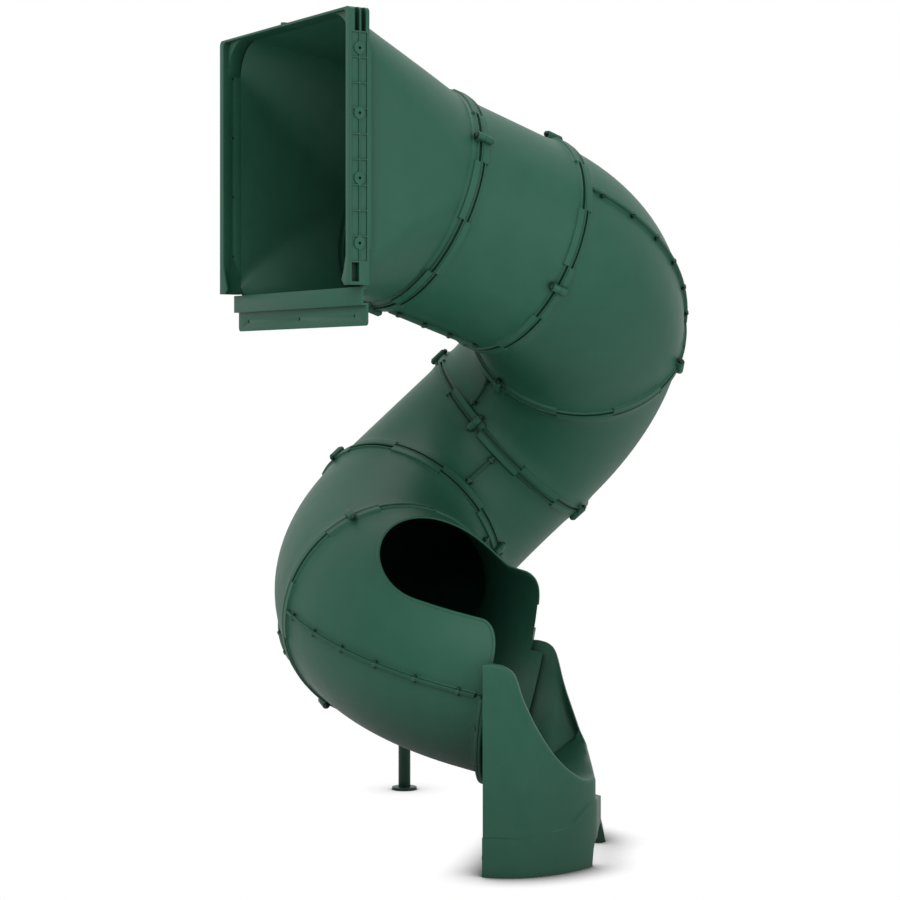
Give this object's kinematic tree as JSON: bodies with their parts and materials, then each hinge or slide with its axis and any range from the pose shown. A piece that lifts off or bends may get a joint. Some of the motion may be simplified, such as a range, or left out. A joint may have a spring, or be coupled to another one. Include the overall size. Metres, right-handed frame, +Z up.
{
  "type": "tube slide",
  "caption": "Winding enclosed tube slide for a raised play deck: square funnel entrance, bolted half-shell tubes, open-topped exit, moulded landing and a support post.",
  "frame": {"origin": "middle hole of the deck plate, on the deck face that it screws to; the ground is 1.451 m below", "axes": "+Z up, +X from the deck out into the slide, +Y to the left of a rider sitting at the mouth"},
  "size_m": [1.4511, 1.41, 2.2414],
  "materials": {
    "green_plastic": "rotomoulded polyethylene, satin gloss",
    "green_steel": "powder coated, satin",
    "dark_fasteners": "dark green coating, semi-gloss"
  },
  "bodies": {
    "root": {"entrance_left": "green_plastic", "entrance_right": "green_plastic", "deck_plate": "green_plastic", "straight_left": "green_plastic", "straight_right": "green_plastic", "elbow_1_upper": "green_plastic", "elbow_1_lower": "green_plastic", "elbow_2_upper": "green_plastic", "elbow_2_lower": "green_plastic", "elbow_3_upper": "green_plastic", "elbow_3_lower": "green_plastic", "elbow_4_upper": "green_plastic", "elbow_4_lower": "green_plastic", "exit_upper": "green_plastic", "exit_lower": "green_plastic", "landing": "green_plastic", "support_post": "green_steel", "ground_plate": "green_steel", "post_bracket": "green_steel", "joint_1_bolts": "dark_fasteners", "joint_2_bolts": "dark_fasteners", "joint_3_bolts": "dark_fasteners", "joint_4_bolts": "dark_fasteners", "joint_5_bolts": "dark_fasteners", "joint_6_bolts": "dark_fasteners", "landing_bolts": "dark_fasteners", "entrance_seam_bolts": "dark_fasteners", "straight_seam_bolts": "dark_fasteners", "elbow_1_seam_bolts": "dark_fasteners", "elbow_2_seam_bolts": "dark_fasteners", "elbow_3_seam_bolts": "dark_fasteners", "elbow_4_seam_bolts": "dark_fasteners", "exit_seam_bolts": "dark_fasteners"}
  },
  "joints": []
}
